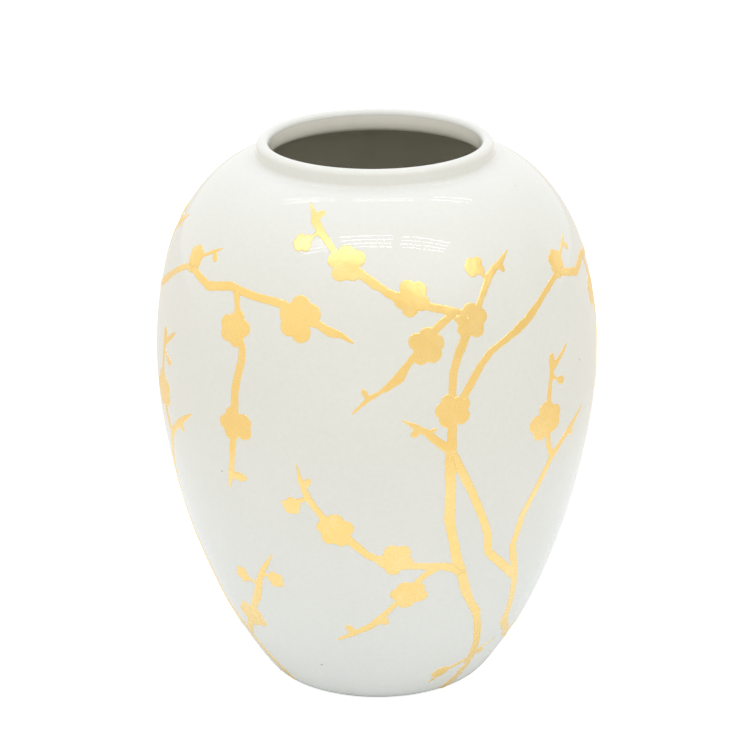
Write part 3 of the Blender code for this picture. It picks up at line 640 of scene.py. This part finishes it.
def closed_limb(points, depth, triangles):
    """One limb as a closed layer: places on the drawing, heights above the glaze and triangles."""
    used, triangles = np.unique(triangles, return_inverse=True)
    triangles = triangles.reshape(-1, 3)
    points = points[used]
    inward = np.clip(depth[used] / EDGE_WIDTH, 0.0, 1.0)
    proud = GILT_THICKNESS * np.sqrt(1.0 - (1.0 - inward) ** 2)
    ends = np.stack([triangles, np.roll(triangles, -1, axis=1)], axis=2).reshape(-1, 2)
    pairs, first, count = np.unique(np.sort(ends, axis=1), axis=0, return_index=True, return_counts=True)
    rim = ends[first[count == 1]]
    rim_points, rim_pairs = np.unique(rim, return_inverse=True)
    rim_pairs = rim_pairs.reshape(-1, 2)
    below = len(points) + np.arange(len(rim_points))
    skirt = np.vstack([np.stack([rim[:, 1], rim[:, 0], below[rim_pairs[:, 0]]], axis=1),
                       np.stack([rim[:, 1], below[rim_pairs[:, 0]], below[rim_pairs[:, 1]]], axis=1)])
    flat = [Vector(place) for place in points[rim_points]]
    result = delaunay_2d_cdt(flat, rim_pairs.tolist(), [], INSIDE_WITH_HOLES, MERGE_DISTANCE)
    origin = [sources[0] for sources in result[3]]
    under = [[below[origin[corner]] for corner in face[::-1]] for face in result[2]]
    all_points = np.vstack([points, points[rim_points]])
    all_proud = np.concatenate([proud, np.full(len(rim_points), GILT_SEAT)])
    return all_points, all_proud, np.vstack([triangles, skirt, under])


def swing(wall, arc, degrees, start_height, end_height):
    """How far places on the drawing move sideways where a limb swings out."""
    start, end = np.interp([start_height, end_height], wall.height, wall.arc)
    share = np.clip((arc - start) / (end - start), 0.0, 1.0)
    return FLAT_RADIUS * math.radians(degrees) * share * share * (3.0 - 2.0 * share)


def gilding(wall, material):
    """Every limb of every repeat, as its own piece."""
    drawing = Drawing(wall)
    points, depth, triangles, on_limb = drawing.layer()
    for number, name in enumerate(LIMBS):
        flat, proud, faces = closed_limb(points, depth, triangles[on_limb == number])
        for repeat, turn, lift, missing in REPEATS:
            if name in missing:
                continue
            moved = flat + (FLAT_RADIUS * math.radians(turn), lift)
            for sideways in SWINGS.get((name, repeat), []):
                moved[:, 0] += swing(wall, moved[:, 1], *sideways)
            laid = wall.laid(moved, proud)
            limb = new_object(f"gilding_{name}_{repeat}", laid, faces, [material])
            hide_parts(f"gilt_{name}_{repeat}")


# Materials

class Shader:
    """A node material under construction."""

    def __init__(self, name):
        self.material = bpy.data.materials.new(name)
        self.material.use_nodes = True
        self.tree = self.material.node_tree
        self.surface = self.tree.nodes["Principled BSDF"]
        self.place = self.node("ShaderNodeNewGeometry").outputs["Position"]

    def node(self, kind, **settings):
        made = self.tree.nodes.new(kind)
        for name, value in settings.items():
            setattr(made, name, value)
        return made

    def link(self, source, target):
        self.tree.links.new(source, target)

    def set(self, **values):
        """Sets the surface's own sockets, named in lower case."""
        for name, value in values.items():
            self.surface.inputs[name.replace("_", " ").title()].default_value = value

    def noise(self, scale, detail):
        """Noise by place, with this many waves per metre."""
        made = self.node("ShaderNodeTexNoise")
        made.inputs["Scale"].default_value = scale
        made.inputs["Detail"].default_value = detail
        self.link(self.place, made.inputs["Vector"])
        return made.outputs["Fac"]

    def ramp(self, source, stops):
        """Goes between two stops, each a position with a colour or grey level."""
        made = self.node("ShaderNodeValToRGB")
        for element, (position, colour) in zip(made.color_ramp.elements, stops):
            element.position = position
            element.color = colour if isinstance(colour, tuple) else (colour,) * 3 + (1.0,)
        self.link(source, made.inputs["Fac"])
        return made.outputs["Color"]

    def spread(self, noise, values, span=MIDDLE_SPAN):
        """Goes from one colour or grey level to another as this noise crosses the span."""
        return self.ramp(self.noise(*noise), zip(span, values))

    def mix(self, blend, share, first, second):
        """Two colours mixed in this way; the share is a number or another output."""
        made = self.node("ShaderNodeMix", data_type="RGBA", blend_type=blend)
        for value, number in ((share, MIX_SHARE), (first, MIX_FIRST), (second, MIX_SECOND)):
            socket = made.inputs[number]
            if isinstance(value, (float, tuple)):
                socket.default_value = value
            else:
                self.link(value, socket)
        return made.outputs[MIX_RESULT]

    def bump(self, source, height, after=None):
        """Relief of this height in metres, laid over an earlier one if there is one."""
        made = self.node("ShaderNodeBump")
        made.inputs["Distance"].default_value = height
        self.link(source, made.inputs["Height"])
        if after:
            self.link(after, made.inputs["Normal"])
        return made.outputs["Normal"]


def porcelain_glaze(name, low, high):
    """Clear gloss over pale clay, with faint clouds, grain, rare specks and slow ripples."""
    shader = Shader(name)
    clouds = shader.spread(CLOUD_NOISE, (low, high))
    grain = shader.spread(GRAIN_NOISE, GRAIN_TONES, GRAIN_SPAN)
    cells = shader.node("ShaderNodeTexVoronoi")
    cells.inputs["Scale"].default_value = SPECK_CELLS
    shader.link(shader.place, cells.inputs["Vector"])
    specks = shader.ramp(cells.outputs["Distance"], zip(SPECK_SPAN, SPECK_TONES))
    colour = shader.mix("MULTIPLY", 1.0, shader.mix("MULTIPLY", 1.0, clouds, grain), specks)
    shader.link(colour, shader.surface.inputs["Base Color"])
    shader.link(shader.spread(GLOSS_NOISE, GLAZE_ROUGHNESS), shader.surface.inputs["Roughness"])
    ripples = shader.bump(shader.noise(*RIPPLE_NOISE), RIPPLE_HEIGHT)
    pits = shader.bump(shader.noise(*PIT_NOISE), PIT_HEIGHT, after=ripples)
    shader.link(pits, shader.surface.inputs["Normal"])
    return shader.material


def inside_glaze():
    """The glaze inside, darker and yellower than the glaze outside."""
    shader = Shader("inside_glaze")
    tone = shader.spread(INSIDE_NOISE, (INSIDE_LOW_TONE, INSIDE_HIGH_TONE))
    shader.link(tone, shader.surface.inputs["Base Color"])
    shader.link(shader.spread(INSIDE_GLOSS_NOISE, INSIDE_ROUGHNESS), shader.surface.inputs["Roughness"])
    waves = shader.bump(shader.noise(*INSIDE_WAVE_NOISE), INSIDE_WAVE_HEIGHT)
    shader.link(waves, shader.surface.inputs["Normal"])
    return shader.material


def bare_foot_clay():
    """The unglazed face of the foot ring."""
    shader = Shader("unglazed_foot")
    shader.link(shader.spread(CLAY_NOISE, (CLAY_LOW, CLAY_HIGH)), shader.surface.inputs["Base Color"])
    shader.set(roughness=CLAY_ROUGHNESS)
    grit = shader.bump(shader.noise(*GRIT_NOISE), GRIT_HEIGHT)
    shader.link(grit, shader.surface.inputs["Normal"])
    return shader.material


def raised_gold():
    """Fired gold, deeper where it is thick, burnished unevenly."""
    shader = Shader("raised_gilding")
    thick = shader.spread(THICKNESS_NOISE, (DEEP_GOLD, GOLD), THICKNESS_SPAN)
    worn = shader.spread(WEAR_NOISE, WEAR_SHARES, WEAR_SPAN)
    tone = shader.mix("MIX", worn, thick, PALE_GOLD)
    shader.link(tone, shader.surface.inputs["Base Color"])
    shader.set(metallic=1.0)
    shader.link(shader.spread(POLISH_NOISE, GOLD_ROUGHNESS), shader.surface.inputs["Roughness"])
    strokes = shader.bump(shader.noise(*STROKE_NOISE), STROKE_HEIGHT)
    dents = shader.bump(shader.noise(*DENT_NOISE), DENT_HEIGHT, after=strokes)
    shader.link(dents, shader.surface.inputs["Normal"])
    return shader.material


# Studio

def pale_floor():
    """A matt floor, white round the vase as a painted pool of light and warmer and darker beyond, which the
    camera sees lit up to white.
    """
    shader = Shader("pale_floor")
    away = shader.node("ShaderNodeVectorMath", operation="LENGTH")
    shader.link(shader.place, away.inputs[0])
    tone = blend(shader.tree, away.outputs["Value"], FLOOR_FADE, FLOOR_NEAR, FLOOR_FAR)
    mottle = shader.spread(MOTTLE_NOISE, MOTTLE_TONES)
    shader.link(shader.mix("MULTIPLY", 1.0, tone, mottle), shader.surface.inputs["Base Color"])
    shader.set(roughness=FLOOR_ROUGHNESS, emission_color=(1.0, 1.0, 1.0, 1.0))
    glow = shader.node("ShaderNodeMath", operation="MULTIPLY")
    glow.inputs[1].default_value = FLOOR_GLOW
    shader.link(shader.node("ShaderNodeLightPath").outputs["Is Camera Ray"], glow.inputs[0])
    shader.link(glow.outputs["Value"], shader.surface.inputs["Emission Strength"])
    mesh = bpy.data.meshes.new("floor")
    half = FLOOR_SIZE / 2
    mesh.from_pydata([(-half, -half, 0.0), (half, -half, 0.0), (half, half, 0.0), (-half, half, 0.0)],
                     [], [(0, 1, 2, 3)])
    mesh.materials.append(shader.material)
    floor = bpy.data.objects.new("floor", mesh)
    bpy.context.scene.collection.objects.link(floor)


def room():
    """A pale room as the world: warm in front, dimmer on the right, white behind, with a window."""
    world = bpy.data.worlds.new("room")
    bpy.context.scene.world = world
    world.use_nodes = True
    tree = world.node_tree
    way = tree.nodes.new("ShaderNodeTexCoord").outputs["Generated"]
    parts = tree.nodes.new("ShaderNodeSeparateXYZ")
    tree.links.new(way, parts.inputs["Vector"])
    towards_window = tree.nodes.new("ShaderNodeVectorMath")
    towards_window.operation = "DOT_PRODUCT"
    tree.links.new(way, towards_window.inputs[0])
    towards_window.inputs[1].default_value = WINDOW_WAY
    colour = blend(tree, parts.outputs["X"], LEFT_TO_RIGHT, ROOM_LEFT, ROOM_RIGHT)
    colour = blend(tree, parts.outputs["Y"], FRONT_TO_BACK, colour, ROOM_BACK)
    colour = blend(tree, parts.outputs["Z"], SIDES_TO_TOP, colour, ROOM_TOP)
    colour = blend(tree, towards_window.outputs["Value"], WINDOW_FADE, colour, ROOM_WINDOW)
    tree.links.new(colour, tree.nodes["Background"].inputs["Color"])


def blend(tree, source, span, low, high):
    """Goes smoothly from one colour to another as the source crosses the span."""
    share = tree.nodes.new("ShaderNodeMapRange")
    share.interpolation_type = "SMOOTHSTEP"
    share.inputs["From Min"].default_value, share.inputs["From Max"].default_value = span
    tree.links.new(source, share.inputs["Value"])
    made = tree.nodes.new("ShaderNodeMix")
    made.data_type = "RGBA"
    tree.links.new(share.outputs["Result"], made.inputs[MIX_SHARE])
    for value, socket in ((low, made.inputs[MIX_FIRST]), (high, made.inputs[MIX_SECOND])):
        if isinstance(value, tuple):
            socket.default_value = value
        else:
            tree.links.new(value, socket)
    return made.outputs[MIX_RESULT]


def ceiling_lights():
    """Short bare tubes in rows, which show as fine lines in the glaze."""
    for row, depth, tubes, spacing, columns in CEILING_ROWS:
        for column, (left, right) in enumerate(columns):
            for tube in range(tubes):
                light = bpy.data.lights.new(f"tube_{row}_{column}_{tube}", "AREA")
                light.shape = "RECTANGLE"
                light.size = right - left
                light.size_y = TUBE_WIDTH
                light.energy = TUBE_POWER_PER_METRE * (right - left)
                made = bpy.data.objects.new(light.name, light)
                bpy.context.scene.collection.objects.link(made)
                made.location = ((left + right) / 2, depth - tube * spacing, CEILING_HEIGHT)


def camera():
    """The photograph's view: from in front and above, looking down at the vase."""
    data = bpy.data.cameras.new("camera")
    data.lens = LENS
    data.sensor_width = SENSOR
    data.shift_x = SHIFT_X
    data.shift_y = SHIFT_Y
    made = bpy.data.objects.new("camera", data)
    bpy.context.scene.collection.objects.link(made)
    made.matrix_world = (Matrix.Translation((0.0, -CAMERA_DISTANCE, CAMERA_HEIGHT))
                         @ Matrix.Rotation(math.radians(90.0 - CAMERA_PITCH), 4, "X")
                         @ Matrix.Rotation(CAMERA_ROLL, 4, "Z"))
    bpy.context.scene.camera = made


def main():
    wall = Wall()
    turned_body(wall)
    gilding(wall, raised_gold())
    pale_floor()
    room()
    ceiling_lights()
    camera()
    bpy.context.scene.view_settings.view_transform = "Standard"


main()
